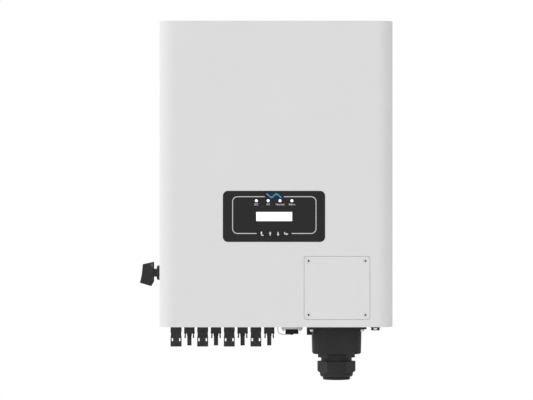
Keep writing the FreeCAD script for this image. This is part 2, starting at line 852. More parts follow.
def heat_sink():
    body = new_body("heat_sink")
    z = (above("sink_inset"), above("body_height - sink_inset"))
    tip = behind("housing_back + sink_base + fin_length")
    box(body, "Base", (f"-{SINK_SIDE}", SINK_SIDE),
        (behind("housing_back"), behind("housing_back + sink_base")), z)
    for number, (low, high) in enumerate((
            (f"-{SINK_SIDE}", f"-{SINK_SIDE} + side_fin"),
            (f"{SINK_SIDE} - side_fin", SINK_SIDE))):
        box(body, f"SideFin{number}", (low, high), (behind("housing_back"), tip), z)
    first = "-fin_pitch * (fin_count - 1) / 2"
    fin = box(body, "Fin", around(first, "fin_thickness"), (behind("housing_back + overrun"), tip), z)
    repeat(body, "Fins", fin, "x", "fin_pitch * (fin_count - overrun)", "fin_count")
    for number, place in enumerate(sink_screw_places()):
        rod(body, f"SinkHole{number}", "y", place,
            (behind("housing_back - overrun"), behind("housing_back + sink_screw_grip + overrun")),
            "sink_screw_radius + screw_clearance", cut=True)
    rod(body, "LockHole", "x", ("-lock_screw_out", "0"),
        (f"{SINK_SIDE} - side_fin - overrun", f"{SINK_SIDE} + overrun"),
        "lock_screw_radius + screw_clearance", cut=True)
    rod(body, "EarthHole", "x", earth_place(),
        (f"{SINK_SIDE} - earth_screw_length - overrun", f"{SINK_SIDE} + overrun"),
        "earth_screw_radius + screw_clearance", cut=True)
    return body


def heat_sink_screws():
    body = new_body("heat_sink_screws")
    for number, place in enumerate(sink_screw_places()):
        rod(body, f"Head{number}", "y", place,
            (f"{INSIDE_BACK} - sink_screw_head_height", INSIDE_BACK), "sink_screw_head")
        rod(body, f"Shank{number}", "y", place,
            (f"{INSIDE_BACK} - overrun", behind("housing_back + sink_screw_grip")), "sink_screw_radius")
        hexagon(body, f"Socket{number}", "y", place,
                (f"{INSIDE_BACK} - sink_screw_head_height - overrun",
                 f"{INSIDE_BACK} - sink_screw_head_height + sink_screw_socket"),
                "sink_screw_head", cut=True)
    return body


def rear_hanger():
    """A bent steel strip on the fin tips; its hook drops behind the bracket's lip."""
    body = new_body("rear_hanger")
    front = behind("housing_back + sink_base + fin_length")
    shelf = "bracket_shelf + bracket_lip"
    rest = f"{shelf} + hanger_rest_gap"
    hook_back = "-(bracket_reach - bracket_sheet - hook_play - hanger_sheet)"
    plate(body, "Strip", "YZ_Plane", ("-hanger_half_width", "hanger_half_width"), [[
        (front, "hanger_low"),
        (f"{front} + hanger_sheet", "hanger_low"),
        (f"{front} + hanger_sheet", rest),
        (f"{hook_back} - hanger_sheet", rest),
        (f"{hook_back} - hanger_sheet", f"{shelf} - hook_drop"),
        (hook_back, f"{shelf} - hook_drop"),
        (hook_back, f"{rest} + hanger_sheet"),
        (front, f"{rest} + hanger_sheet"),
    ]])
    return body


def wall_bracket():
    body = new_body("wall_bracket")
    plate(body, "Sheet", "YZ_Plane", ("-bracket_half_width", "bracket_half_width"), [[
        ("0", "bracket_low"),
        ("0", "bracket_shelf + bracket_sheet"),
        ("-(bracket_reach - bracket_sheet)", "bracket_shelf + bracket_sheet"),
        ("-(bracket_reach - bracket_sheet)", "bracket_shelf + bracket_lip"),
        ("-bracket_reach", "bracket_shelf + bracket_lip"),
        ("-bracket_reach", "bracket_shelf"),
        ("-bracket_sheet", "bracket_shelf"),
        ("-bracket_sheet", "bracket_low"),
    ]])
    ear = (f"{SINK_SIDE} + ear_gap", f"{SINK_SIDE} + ear_gap + bracket_sheet")
    box(body, "EarRoot", ("bracket_half_width - overrun", ear[1]), ("-bracket_sheet", "0"),
        ("-ear_half_height", "ear_half_height"))
    box(body, "Ear", ear, ("-ear_reach", "0"), ("-ear_half_height", "ear_half_height"))
    for number, place in enumerate(four_places("0", "bolt_spacing_x", "0", "bolt_spacing_z")):
        rod(body, f"WallHole{number}", "y", place,
            ("-bracket_sheet - overrun", "1"), "bolt_hole_radius", cut=True)
    rod(body, "EarHole", "x", ("-lock_screw_out", "0"), (f"{ear[0]} - overrun", f"{ear[1]} + overrun"),
        "lock_screw_radius + screw_clearance", cut=True)
    return body


def bracket_lock_screw():
    body = new_body("bracket_lock_screw")
    face = f"({SINK_SIDE} + ear_gap + bracket_sheet)"
    place = ("-lock_screw_out", "0")
    rod(body, "Head", "x", place, (face, f"{face} + lock_screw_head_height"), "lock_screw_head")
    rod(body, "Shank", "x", place, (f"{face} - lock_screw_length", f"{face} + overrun"),
        "lock_screw_radius")
    hexagon(body, "Socket", "x", place,
            (f"{face} + lock_screw_head_height - lock_screw_socket",
             f"{face} + lock_screw_head_height + overrun"),
            "lock_screw_head", cut=True)
    return body


def earth_place():
    return behind("housing_back + sink_base / 2"), above("earth_height")


def earth_screw():
    body = new_body("earth_screw")
    rod(body, "Head", "x", earth_place(),
        (SINK_SIDE, f"{SINK_SIDE} + earth_screw_head_height"), "earth_screw_head")
    rod(body, "Shank", "x", earth_place(),
        (f"{SINK_SIDE} - earth_screw_length", f"{SINK_SIDE} + overrun"), "earth_screw_radius")
    hexagon(body, "Socket", "x", earth_place(),
            (f"{SINK_SIDE} + overrun", f"{SINK_SIDE} + earth_screw_head_height + overrun"),
            "earth_screw_head", cut=True)
    return body


# ---------------------------------------------------------------- display

PANEL_FACE = behind("-display_proud")
PANEL_BACK = behind("cover_wall + display_lip_thickness")
BOARD_FACE = behind("display_board_depth")
KEYS = ("key_escape", "key_up", "key_down", "key_enter")


def led_place(number):
    return f"led_first_x + {number} * led_pitch", above("led_height")


def key_place(number):
    return f"key_first_x + {number} * key_pitch", above("key_height")


def display_bosses():
    return four_places("display_x", "2 * (display_board_half_x - display_boss_inset)",
                       above("display_height"), "2 * (display_board_half_z - display_boss_inset)")


def display_panel():
    body = new_body("display_panel")
    box(body, "Panel", around("display_x", "display_width"),
        (PANEL_FACE, behind("cover_wall")), around(above("display_height"), "display_tall"))
    round_corners(body, "PanelCorners", "display_corner", "y")
    box(body, "Lip", around("display_x", "display_width + 2 * display_lip"),
        (behind("cover_wall"), PANEL_BACK),
        around(above("display_height"), "display_tall + 2 * display_lip"))
    for number, place in enumerate(display_bosses()):
        rod(body, f"Boss{number}", "y", place, (behind("cover_wall"), BOARD_FACE),
            "display_boss_radius")
    through = (behind("-display_proud - overrun"), f"{PANEL_BACK} + overrun")
    box(body, "WindowSeat", around("window_x", "window_width + 2 * key_gap"),
        (behind("-display_proud - overrun"), behind("window_thickness - display_proud")),
        around(above("window_height"), "window_tall + 2 * key_gap"), cut=True)
    box(body, "WindowOpening", around("window_x", "window_width - 2 * window_ledge"), through,
        around(above("window_height"), "window_tall - 2 * window_ledge"), cut=True)
    for number in range(LEDS):
        rod(body, f"LedHole{number}", "y", led_place(number), through,
            "led_radius + screw_clearance", cut=True)
    for number in range(len(KEYS)):
        x, z = key_place(number)
        box(body, f"KeyHole{number}", around(x, "key_size + 2 * key_gap"), through,
            around(z, "key_size + 2 * key_gap"), cut=True)
    return body


def display_window():
    body = new_body("display_window")
    box(body, "Pane", around("window_x", "window_width"),
        (PANEL_FACE, behind("window_thickness - display_proud")),
        around(above("window_height"), "window_tall"))
    return body


def lcd_module():
    body = new_body("lcd_module")
    box(body, "Glass", around("window_x", "window_width + 2 * lcd_side"),
        (f"{PANEL_BACK} + lcd_gap", BOARD_FACE),
        around(above("window_height"), "window_tall + 2 * lcd_side"))
    round_corners(body, "GlassCorners", "lcd_corner", "y")
    return body


def display_board():
    body = new_body("display_board")
    box(body, "Board",
        ("display_x - display_board_half_x", "display_x + display_board_half_x"),
        (BOARD_FACE, f"{BOARD_FACE} + board_thickness"),
        (f"{above('display_height')} - display_board_half_z",
         f"{above('display_height')} + display_board_half_z"))
    box(body, "Socket", around("display_x", "display_board_half_x / 2"),
        (f"{BOARD_FACE} + board_thickness / 2", f"{BOARD_FACE} + board_thickness + display_socket_height"),
        around(above("display_height"), "display_socket_tall"))
    return body


def led_light_pipes():
    body = new_body("led_light_pipes")
    for number in range(LEDS):
        rod(body, f"Pipe{number}", "y", led_place(number), (PANEL_FACE, BOARD_FACE), "led_radius")
    return body


def key(number, name):
    """A key cap that slides in the panel, with a flange behind it and a stem over its switch."""
    body = new_body(name)
    x, z = key_place(number)
    flange = (f"{PANEL_BACK} + key_gap", f"{PANEL_BACK} + key_gap + key_flange_thickness")
    tip = f"{BOARD_FACE} - switch_tall - plunger_length - key_travel - key_plunger_gap"
    box(body, "Cap", around(x, "key_size"), (PANEL_FACE, f"{flange[0]} + key_flange_thickness / 2"),
        around(z, "key_size"))
    round_corners(body, "CapCorners", "key_corner", "y")
    box(body, "Flange", around(x, "key_size + 2 * key_flange"), flange,
        around(z, "key_size + 2 * key_flange"))
    rod(body, "Stem", "y", (x, z), (flange[0], tip), "key_stem_radius")
    return body


def key_switches():
    body = new_body("key_switches")
    for number in range(len(KEYS)):
        x, z = key_place(number)
        face = f"({BOARD_FACE} - switch_tall)"
        box(body, f"Base{number}", around(x, "key_switch_size"), (face, BOARD_FACE),
            around(z, "key_switch_size"))
        rod(body, f"Plunger{number}", "y", (x, z), (f"{face} - plunger_length", f"{face} + overrun"),
            "plunger_radius")
    return body


# ---------------------------------------------------------------- AC terminal cover

def access_screw_places():
    return four_places("access_x", "access_screw_x", above("access_height"), "access_screw_z")


def ac_access_cover():
    body = new_body("ac_access_cover")
    box(body, "Plate", around("access_x", "access_width"),
        (behind("0"), behind("access_plate")), around(above("access_height"), "access_tall"))
    round_corners(body, "PlateCorners", "access_corner", "y")
    for number, place in enumerate(access_screw_places()):
        cone(body, f"Sink{number}", "y", place, behind("0"), "access_screw_sink",
             ("access_screw_head + screw_clearance", "access_screw_radius + screw_clearance"),
             cut=True)
    for number, place in enumerate(access_screw_places()):
        rod(body, f"Hole{number}", "y", place, (behind("0"), behind("access_plate + overrun")),
            "access_screw_radius + screw_clearance", cut=True)
    return body


def access_cover_gasket():
    body = new_body("access_cover_gasket")
    y = (behind("access_plate"), behind("access_plate + access_gasket"))
    box(body, "Ring", around("access_x", "access_width"), y,
        around(above("access_height"), "access_tall"))
    round_corners(body, "RingCorners", "access_corner", "y")
    box(body, "Middle", around("access_x", "access_opening_x"),
        (f"{y[0]} - overrun", f"{y[1]} + overrun"), around(above("access_height"), "access_opening_z"),
        cut=True)
    for number, place in enumerate(access_screw_places()):
        rod(body, f"Hole{number}", "y", place, (f"{y[0]} - overrun", f"{y[1]} + overrun"),
            "access_screw_radius + screw_clearance", cut=True)
    return body


def access_cover_screws():
    body = new_body("access_cover_screws")
    for number, place in enumerate(access_screw_places()):
        cone(body, f"Head{number}", "y", place, behind("0"), "access_screw_sink",
             ("access_screw_head", "access_screw_radius"))
        rod(body, f"Shank{number}", "y", place,
            (behind("access_screw_sink"), behind("access_boss_depth + access_screw_grip")),
            "access_screw_radius")
        rod(body, f"Socket{number}", "y", place, (behind("-overrun"), behind("screw_socket_depth")),
            "screw_socket_radius", cut=True)
    return body


# ---------------------------------------------------------------- solar connectors

def connector_place(number):
    return f"connector_first_x + {number} * connector_pitch", UNDERSIDE_Y


def connector_shank(body, place):
    """The threaded shank that passes up through the housing's floor."""
    rod(body, "Shank", "z", place, (f"{HOUSING_LOW} - overrun", f"{HOUSING_LOW} + shank_rise"),
        "shank_radius")


def dc_positive(number):
    """A wide shell with two latch windows, around a socket."""
    body = new_body(f"dc_positive_{number // 2 + 1}")
    place = connector_place(number)
    x = place[0]
    full = "connector_width / 2"
    waist = "connector_waist / 2"
    right = [
        (f"{x} + {full}", HOUSING_LOW),
        (f"{x} + {full}", above("connector_step - connector_shoulder")),
        (f"{x} + {waist}", above("-connector_shoulder")),
        (f"{x} + {full}", above("-connector_waist_end")),
        (f"{x} + {full}", above("-connector_length")),
    ]
    left = [(across.replace(f"{x} +", f"{x} -"), up) for across, up in reversed(right)]
    plate(body, "Shell", "XZ_Plane", around(UNDERSIDE_Y, "connector_thick"), [right + left])
    doc.recompute()
    connector_shank(body, place)
    rod(body, "Socket", "z", place,
        (above("-connector_length - overrun"), above("socket_deep - connector_length")),
        "socket_radius", cut=True)
    rod(body, "ContactBore", "z", place,
        (above("-connector_length"), f"{HOUSING_LOW} + shank_rise + overrun"),
        "contact_radius + contact_bore_gap", cut=True)
    for number_of, side in enumerate(("-", "+")):
        box(body, f"LatchWindow{number_of}",
            around(f"{x} {side} window_slot_x", "window_slot_width"),
            around(UNDERSIDE_Y, "connector_thick + 2 * overrun"),
            around(above("-window_slot_below"), "window_slot_tall"), cut=True)
    return body


def dc_negative(number):
    """A narrow stem between two latch arms."""
    body = new_body(f"dc_negative_{number // 2 + 1}")
    place = connector_place(number)
    x = place[0]
    box(body, "Head", around(x, "plug_width"), around(UNDERSIDE_Y, "connector_thick"),
        (above("-connector_shoulder"), HOUSING_LOW))
    round_corners(body, "HeadCorners", "connector_corner", "z")
    rod(body, "Collar", "z", place,
        (above("-stem_collar_end"), above("overrun - connector_shoulder")), "stem_collar_radius")
    rod(body, "Stem", "z", place, (above("-stem_end"), above("-connector_shoulder")),
        "stem_radius")
    for number_of, side in enumerate(("-", "+")):
        box(body, f"LatchArm{number_of}", around(f"{x} {side} latch_x", "latch_thickness"),
            around(UNDERSIDE_Y, "latch_wide"),
            (above("-latch_end"), above("overrun - connector_shoulder")))
    connector_shank(body, place)
    rod(body, "ContactBore", "z", place,
        (above("-stem_end - overrun"), f"{HOUSING_LOW} + shank_rise + overrun"), "stem_bore", cut=True)
    return body


def dc_connector_nuts():
    body = new_body("dc_connector_nuts")
    floor = f"({HOUSING_LOW} + housing_wall)"
    for number in range(2 * CONNECTOR_PAIRS):
        place = connector_place(number)
        hexagon(body, f"Nut{number}", "z", place, (floor, f"{floor} + nut_thickness"),
                "nut_across_corners")
        rod(body, f"Thread{number}", "z", place,
            (f"{floor} - overrun", f"{floor} + nut_thickness + overrun"),
            "shank_radius + shank_gap", cut=True)
    return body


def dc_contacts():
    """A pin in each wide shell and a sleeve in each narrow stem."""
    body = new_body("dc_contacts")
    for number in range(2 * CONNECTOR_PAIRS):
        low = "-connector_length + pin_recess" if number % 2 == 0 else "-stem_end + sleeve_recess"
        rod(body, f"Contact{number}", "z", connector_place(number),
            (above(low), f"{HOUSING_LOW} + shank_rise + contact_rise"), "contact_radius")
    return body


# ---------------------------------------------------------------- communication port

def port_connector():
    """The metal-flanged data connector with its shell, open downwards."""
    body = new_body("port_connector")
    box(body, "Flange", around("port_x", "port_width"), around(UNDERSIDE_Y, "port_thick"),
        (above("-port_below"), HOUSING_LOW))
    round_corners(body, "FlangeCorners", "port_corner", "z")
    box(body, "Back", around("port_x", "port_opening_x - 2 * port_back_gap"),
        around(UNDERSIDE_Y, "port_opening_y - 2 * port_back_gap"),
        (f"{HOUSING_LOW} - overrun", f"{HOUSING_LOW} + housing_wall + port_back_rise"))
    box(body, "Shell", around("port_x", "shell_width"), around(UNDERSIDE_Y, "shell_thick"),
        (above("-port_below - shell_reach"), above("overrun - port_below")))
    box(body, "ShellMouth", around("port_x", "shell_width - 2 * shell_wall"),
        around(UNDERSIDE_Y, "shell_thick - 2 * shell_wall"),
        (above("-port_below - shell_reach - overrun"), above("-port_below")), cut=True)
    for number, side in enumerate(("-", "+")):
        rod(body, f"JackHole{number}", "z", (f"port_x {side} jack_spacing / 2", UNDERSIDE_Y),
            (above("-port_below - overrun"), above("jack_hole_depth - port_below")),
            "jack_shank_radius + screw_clearance", cut=True)
    return body


def port_jack_screws():
    body = new_body("port_jack_screws")
    for number, side in enumerate(("-", "+")):
        place = (f"port_x {side} jack_spacing / 2", UNDERSIDE_Y)
        hexagon(body, f"Head{number}", "z", place,
                (above("-port_below - jack_reach"), above("-port_below")), "2 * jack_radius")
        rod(body, f"Shank{number}", "z", place,
            (above("-port_below - jack_floor"), above("jack_grip - port_below")),
            "jack_shank_radius")
        rod(body, f"Thread{number}", "z", place,
            (above("-port_below - jack_reach - overrun"), above("-port_below - jack_floor")),
            "jack_thread_radius", cut=True)
    return body


def port_dust_cap():
    """A rubber cap pushed over the data connector's shell, with a nub for its tether."""
    body = new_body("port_dust_cap")
    box(body, "Cap", around("port_x", "cap_width"), around(UNDERSIDE_Y, "cap_thick"),
        (above("-cap_below"), above("-port_below - cap_gap")))
    round_corners(body, "CapCorners", "cap_corner", "z")
    rod(body, "Nub", "z", ("port_x", UNDERSIDE_Y), (above("-nub_below"), above("overrun - cap_below")),
        "nub_radius")
    box(body, "Cavity", around("port_x", "shell_width + 2 * cap_fit"),
        around(UNDERSIDE_Y, "shell_thick + 2 * cap_fit"),
        (above("-port_below - shell_reach - cap_gap"), above("overrun - port_below")), cut=True)
    return body


# The tether's points between its two ends: X, and distance below the cover's edge.
TETHER_ROUTE = ((2.3, 9.3), (6.0, 13.2), (13.0, 13.7))


def cap_tether():
    """A thin cord of straight runs and tangent arcs, from the housing's stud to the cap's nub."""
    size = sheet.get
    depth = size("underside_depth") - size("unit_depth")
    edge = -size("bolts_above_body")
    start = edge + size("cover_wall") + size("cover_clearance") - size("anchor_height")
    points = [FreeCAD.Vector(size("tether_x"), depth, start)]
    points += [FreeCAD.Vector(x, depth, edge - below) for x, below in TETHER_ROUTE]
    nub_side = size("port_x") - size("nub_radius")
    points.append(FreeCAD.Vector(nub_side, depth, edge - size("tether_end_below")))
    path = rounded_path(points)
    radius = size("tether_radius")
    ring = Part.Wire(Part.makeCircle(radius, points[0], points[1] - points[0]))
    tube = path.makePipeShell([ring], True, False)
    print(f"tether: {path.Length:.2f} mm long, volume over section times length",
          f"{tube.Volume / (math.pi * radius ** 2 * path.Length):.4f}")
    piece = doc.addObject("Part::Feature", "cap_tether")
    piece.Label = "cap_tether"
    piece.Shape = tube
    piece.Placement = FreeCAD.Placement()
    return piece


def rounded_path(points):
    """Straight runs joined by arcs that take 0.45 of the shorter run at each inner point."""
    edges = []
    here = points[0]
    for before, corner, after in zip(points, points[1:], points[2:]):
        back = before - corner
        ahead = after - corner
        reach = 0.45 * min(back.Length, ahead.Length)
        back.normalize()
        ahead.normalize()
        entry = corner + back * reach
        leave = corner + ahead * reach
        half_turn = (math.pi - back.getAngle(ahead)) / 2
        radius = reach / math.tan(half_turn)
        bisector = (back + ahead).normalize()
        centre = corner + bisector * math.hypot(reach, radius)
        edges.append(Part.LineSegment(here, entry).toShape())
        middle = centre - bisector * radius
        edges.append(Part.Arc(entry, middle, leave).toShape())
        print(f"tether bend: radius {radius:.2f} mm")
        here = leave
    edges.append(Part.LineSegment(here, points[-1]).toShape())
    return Part.Wire(edges)


# ---------------------------------------------------------------- AC outlet and gland

GLAND_AXIS = ("outlet_x", GLAND_Y)


def outlet_screw_places():
    return four_places("outlet_x", OUTLET_SCREW_X, GLAND_Y, OUTLET_SCREW_Y)


def ac_outlet_box():
    """A drafted box under the housing, with a screwed flange at its top."""
    body = new_body("ac_outlet_box")
    flange_low = above("-outlet_flange_below")
    plate(body, "Box", "XY_Plane", (above("-outlet_below"), flange_low), [rectangle(
        around("outlet_x", f"{OUTLET_WIDTH} - outlet_draft"),
        around(GLAND_Y, f"{OUTLET_THICK} - outlet_draft"))], draft="outlet_draft")
    round_corners(body, "BoxCorners", "outlet_corner", "z", slack=3)
    flange_top = f"{HOUSING_LOW} - outlet_gasket"
    box(body, "Flange", around("outlet_x", FLANGE_X), around(GLAND_Y, FLANGE_Y),
        (flange_low, flange_top))
    round_corners(body, "FlangeCorners", "outlet_flange_corner", "z", share=0.1)
    box(body, "Lug",
        (f"outlet_x - {FLANGE_X} / 2", f"outlet_x - {FLANGE_X} / 2 + lug_width + overrun"),
        (f"{GLAND_Y} + lug_start", f"{GLAND_Y} + lug_end"),
        (above("-lug_below"), above("-outlet_flange_below + overrun")))
    rounded_cut(body, "Cavity", "z",
                {"x": around("outlet_x", f"{OUTLET_WIDTH} - 2 * outlet_draft - 2 * outlet_wall"),
                 "y": around(GLAND_Y, f"{OUTLET_THICK} - 2 * outlet_draft - 2 * outlet_wall"),
                 "z": (above("outlet_wall - outlet_below"), flange_low)},
                "(outlet_corner - outlet_wall)")
    rod(body, "WireWay", "z", GLAND_AXIS, (f"{flange_low} - overrun", f"{flange_top} + overrun"),
        f"{OUTLET_OPENING} / 2", cut=True)
    rod(body, "GlandHole", "z", GLAND_AXIS,
        (above("-outlet_below - overrun"), above("outlet_wall + 1 - outlet_below")),
        "gland_thread_radius + gland_thread_gap", cut=True)
    for number, place in enumerate(outlet_screw_places()):
        rod(body, f"FlangeHole{number}", "z", place, (f"{flange_low} - overrun", f"{flange_top} + overrun"),
            "outlet_screw_radius + screw_clearance", cut=True)
    return body


def outlet_box_gasket():
    body = new_body("outlet_box_gasket")
    z = (f"{HOUSING_LOW} - outlet_gasket", HOUSING_LOW)
    box(body, "Pad", around("outlet_x", f"{FLANGE_X} - 2 * outlet_gasket_inset"),
        around(GLAND_Y, f"{FLANGE_Y} - 2 * outlet_gasket_inset"), z)
    round_corners(body, "PadCorners", "outlet_flange_corner", "z")
    through = (f"{z[0]} - overrun", f"{z[1]} + overrun")
    rod(body, "WireWay", "z", GLAND_AXIS, through, f"{OUTLET_OPENING} / 2", cut=True)
    for number, place in enumerate(outlet_screw_places()):
        rod(body, f"Hole{number}", "z", place, through,
            "outlet_screw_radius + screw_clearance", cut=True)
    return body


def outlet_box_screws():
    body = new_body("outlet_box_screws")
    face = above("-outlet_flange_below")
    for number, place in enumerate(outlet_screw_places()):
        rod(body, f"Head{number}", "z", place, (f"{face} - outlet_screw_head_height", face),
            "outlet_screw_head")
        rod(body, f"Shank{number}", "z", place, (f"{face} - overrun", f"{face} + outlet_screw_length"),
            "outlet_screw_radius")
        hexagon(body, f"Socket{number}", "z", place,
                (f"{face} - outlet_screw_head_height - overrun",
                 f"{face} - outlet_screw_head_height + outlet_screw_socket"),
                "outlet_screw_head", cut=True)
    return body


def gland_body():
    """The threaded fitting: its thread is in the box's floor and its tail takes the nut."""
    body = new_body("gland_body")
    seat = above("-outlet_below")
    top = f"{seat} + outlet_wall + gland_locknut_thickness + gland_thread_over"
    neck_end = above("-gland_neck_end")
    tail_end = above("-gland_tail_end")
    turned(body, "Tube", "outlet_x", GLAND_Y, [
        (GLAND_BORE, top),
        ("gland_thread_radius", top),
        ("gland_thread_radius", seat),
        (NECK_RADIUS, seat),
        (NECK_RADIUS, neck_end),
        (TAIL_RADIUS, neck_end),
        (TAIL_RADIUS, tail_end),
        (GLAND_BORE, tail_end),
    ])
    hexagon(body, "Collar", "z", GLAND_AXIS, (above("-gland_collar_end"), seat),
            COLLAR_CORNERS)
    rod(body, "Bore", "z", GLAND_AXIS, (f"{tail_end} - overrun", f"{top} + overrun"),
        GLAND_BORE, cut=True)
    return body


def gland_locknut():
    body = new_body("gland_locknut")
    floor = above("outlet_wall - outlet_below")
    hexagon(body, "Nut", "z", GLAND_AXIS, (floor, f"{floor} + gland_locknut_thickness"),
            LOCKNUT_CORNERS)
    rod(body, "Thread", "z", GLAND_AXIS,
        (f"{floor} - overrun", f"{floor} + gland_locknut_thickness + overrun"),
        "gland_thread_radius + gland_thread_clearance", cut=True)
    return body


def gland_seal():
    """The rubber sleeve that grips the cable, with a rim that shows at the gland's mouth."""
    body = new_body("gland_seal")
    sleeve = f"{GLAND_BORE} - gland_seal_gap"
    rim_start = above("-gland_seal_rim_start")
    end = above("-gland_seal_end")
    top = above("-gland_seal_top")
    turned(body, "Sleeve", "outlet_x", GLAND_Y, [
        ("cable_radius", top),
        (sleeve, top),
        (sleeve, rim_start),
        (SEAL_RIM, rim_start),
        (SEAL_RIM, f"{end} + gland_seal_edge"),
        (f"{SEAL_RIM} - gland_seal_edge", end),
        ("cable_radius", end),
    ])
    return body


def gland_pressure_ring():
    body = new_body("gland_pressure_ring")
    inner = f"{GLAND_BORE} + gland_seal_gap / 2"
    outer = f"{TAIL_RADIUS} + gland_thread_clearance - gland_ring_play"
    high = above("-gland_tail_end - gland_ring_play")
    low = above("-gland_ring_end")
    turned(body, "Ring", "outlet_x", GLAND_Y, [
        (inner, high), (outer, high), (outer, low), (inner, low)])
    return body


def gland_nut():
    """The domed hexagonal nut that draws up on the gland's tail."""
    body = new_body("gland_nut")
    top = above("-gland_neck_end - gland_nut_gap")
    hex_end = above("-gland_nut_hex_end")
    end = above("-gland_nut_end")
    bore = f"{TAIL_RADIUS} + gland_thread_clearance"
    shoulder = above("-gland_ring_end - gland_ring_gap")
    hexagon(body, "Hexagon", "z", GLAND_AXIS, (hex_end, top), NUT_CORNERS)
    doc.recompute()
    chamfer = sketch(body, "ChamferSection", "XZ_Plane", {"x": "outlet_x", "z": f"-({GLAND_Y})"}, [[
        (DOME_RADIUS, f"{hex_end} - overrun"),
        (NUT_CORNERS, f"{hex_end} - overrun"),
        (NUT_CORNERS, f"{hex_end} + gland_nut_chamfer"),
        (f"{NUT_CORNERS} / 2", f"{hex_end} + gland_nut_chamfer"),
        (DOME_RADIUS, hex_end),
    ]])
    groove = body.newObject("PartDesign::Groove", "CornerChamfer")
    groove.Profile = chamfer
    groove.ReferenceAxis = (chamfer, ["V_Axis"])
    groove.Angle = 360
    doc.recompute()
    rod(body, "Bore", "z", GLAND_AXIS, (f"{end} - overrun", f"{top} + overrun"), bore, cut=True)
    turned(body, "Dome", "outlet_x", GLAND_Y, [
        (bore, hex_end),
        (DOME_RADIUS, hex_end),
        (DOME_RADIUS, above("-gland_nut_dome_start")),
        (CROWN_RADIUS, end),
        (MOUTH_RADIUS, end),
        (MOUTH_RADIUS, shoulder),
        (bore, shoulder),
    ])
    return body


def vent_valve():
    """A pressure vent: a slotted cage below the floor and a shank through it."""
    body = new_body("vent_valve")
    place = ("vent_x", UNDERSIDE_Y)
    rod(body, "Cage", "z", place, (above("-vent_below"), HOUSING_LOW), "vent_radius")
    rod(body, "Shank", "z", place, (f"{HOUSING_LOW} - overrun", f"{HOUSING_LOW} + vent_rise"),
        "vent_shank")
    slots = (above("-vent_slot_end"), above("-vent_slot_top"))
    wide = "2 * vent_radius + 2 * overrun"
    box(body, "SlotThrough", around("vent_x", "vent_slot"), around(UNDERSIDE_Y, wide), slots,
        cut=True)
    box(body, "SlotAcross", around("vent_x", wide), around(UNDERSIDE_Y, "vent_slot"), slots,
        cut=True)
    return body


# ---------------------------------------------------------------- DC switch

SWITCH_AXIS = (behind("switch_depth"), above("switch_height"))
INNER_WALL = f"(housing_wall - {HOUSING_SIDE})"
COLLAR_END = f"(-{HOUSING_SIDE} - escutcheon_thickness)"
SHAFT_OUTER = f"({COLLAR_END} - switch_shaft_reach)"
SHAFT_INNER = f"({INNER_WALL} + switch_shaft_deep)"
BODY_INNER = f"({INNER_WALL} + switch_body_deep)"
KNOB_INNER = f"({COLLAR_END} - knob_standoff)"

# The handle's outline: outwards from its inner face, and up from the shaft's axis.
KNOB_OUTLINE = ((0, 15.8), (16.1, 12.2), (17.6, -2.6), (20.2, -14.3), (3.9, -19.3), (0, -12.4))


def dc_switch_body():
    body = new_body("dc_switch_body")
    low, high = around(above("switch_height"), "2 * switch_body_half")
    box(body, "Case", (INNER_WALL, BODY_INNER),
        around(behind("switch_depth"), "2 * switch_body_half"), (low, high))
    rod(body, "Bushing", "x", SWITCH_AXIS, (f"-{HOUSING_SIDE}", f"{INNER_WALL} + overrun"),
        "switch_bushing")
    rod(body, "ShaftBore", "x", SWITCH_AXIS,
        (f"-{HOUSING_SIDE} - overrun", f"{SHAFT_INNER} + switch_bore_gap"),
        "switch_shaft_radius + switch_bore_gap", cut=True)
    for number in range(SWITCH_SLOTS):
        z = f"{low} + {number + 1} * switch_body_half / 2"
        box(body, f"Slot{number}", (f"{BODY_INNER} - switch_slot_depth", f"{BODY_INNER} + overrun"),
            around(behind("switch_depth"), "switch_body_half"), around(z, "switch_slot_tall"),
            cut=True)
    return body


def dc_switch_shaft():
    body = new_body("dc_switch_shaft")
    rod(body, "Shaft", "x", SWITCH_AXIS, (SHAFT_OUTER, SHAFT_INNER),
        "switch_shaft_radius")
    return body


def switch_escutcheon():
    """The round collar outside the housing's wall, recessed for the shaft's seal."""
    body = new_body("switch_escutcheon")
    rod(body, "Collar", "x", SWITCH_AXIS, (COLLAR_END, f"-{HOUSING_SIDE}"),
        "escutcheon_radius")
    doc.recompute()
    dress(body, "Chamfer", "CollarEdge", "escutcheon_chamfer",
          end_edges(body.Tip.Shape, "x", "low"))
    rod(body, "Bore", "x", SWITCH_AXIS, (f"{COLLAR_END} - overrun", f"-{HOUSING_SIDE} + overrun"),
        "switch_shaft_radius + switch_bore_gap", cut=True)
    rod(body, "SealSeat", "x", SWITCH_AXIS,
        (f"-{HOUSING_SIDE} - switch_seal_thickness", f"-{HOUSING_SIDE} + overrun"),
        "switch_seal_radius", cut=True)
    return body


def switch_shaft_seal():
    body = new_body("switch_shaft_seal")
    span = (f"-{HOUSING_SIDE} - switch_seal_thickness", f"-{HOUSING_SIDE}")
    rod(body, "Ring", "x", SWITCH_AXIS, span, "switch_seal_radius")
    rod(body, "Bore", "x", SWITCH_AXIS, (f"{span[0]} - overrun", f"{span[1]} + overrun"),
        "switch_shaft_radius + switch_shaft_gap", cut=True)
    return body


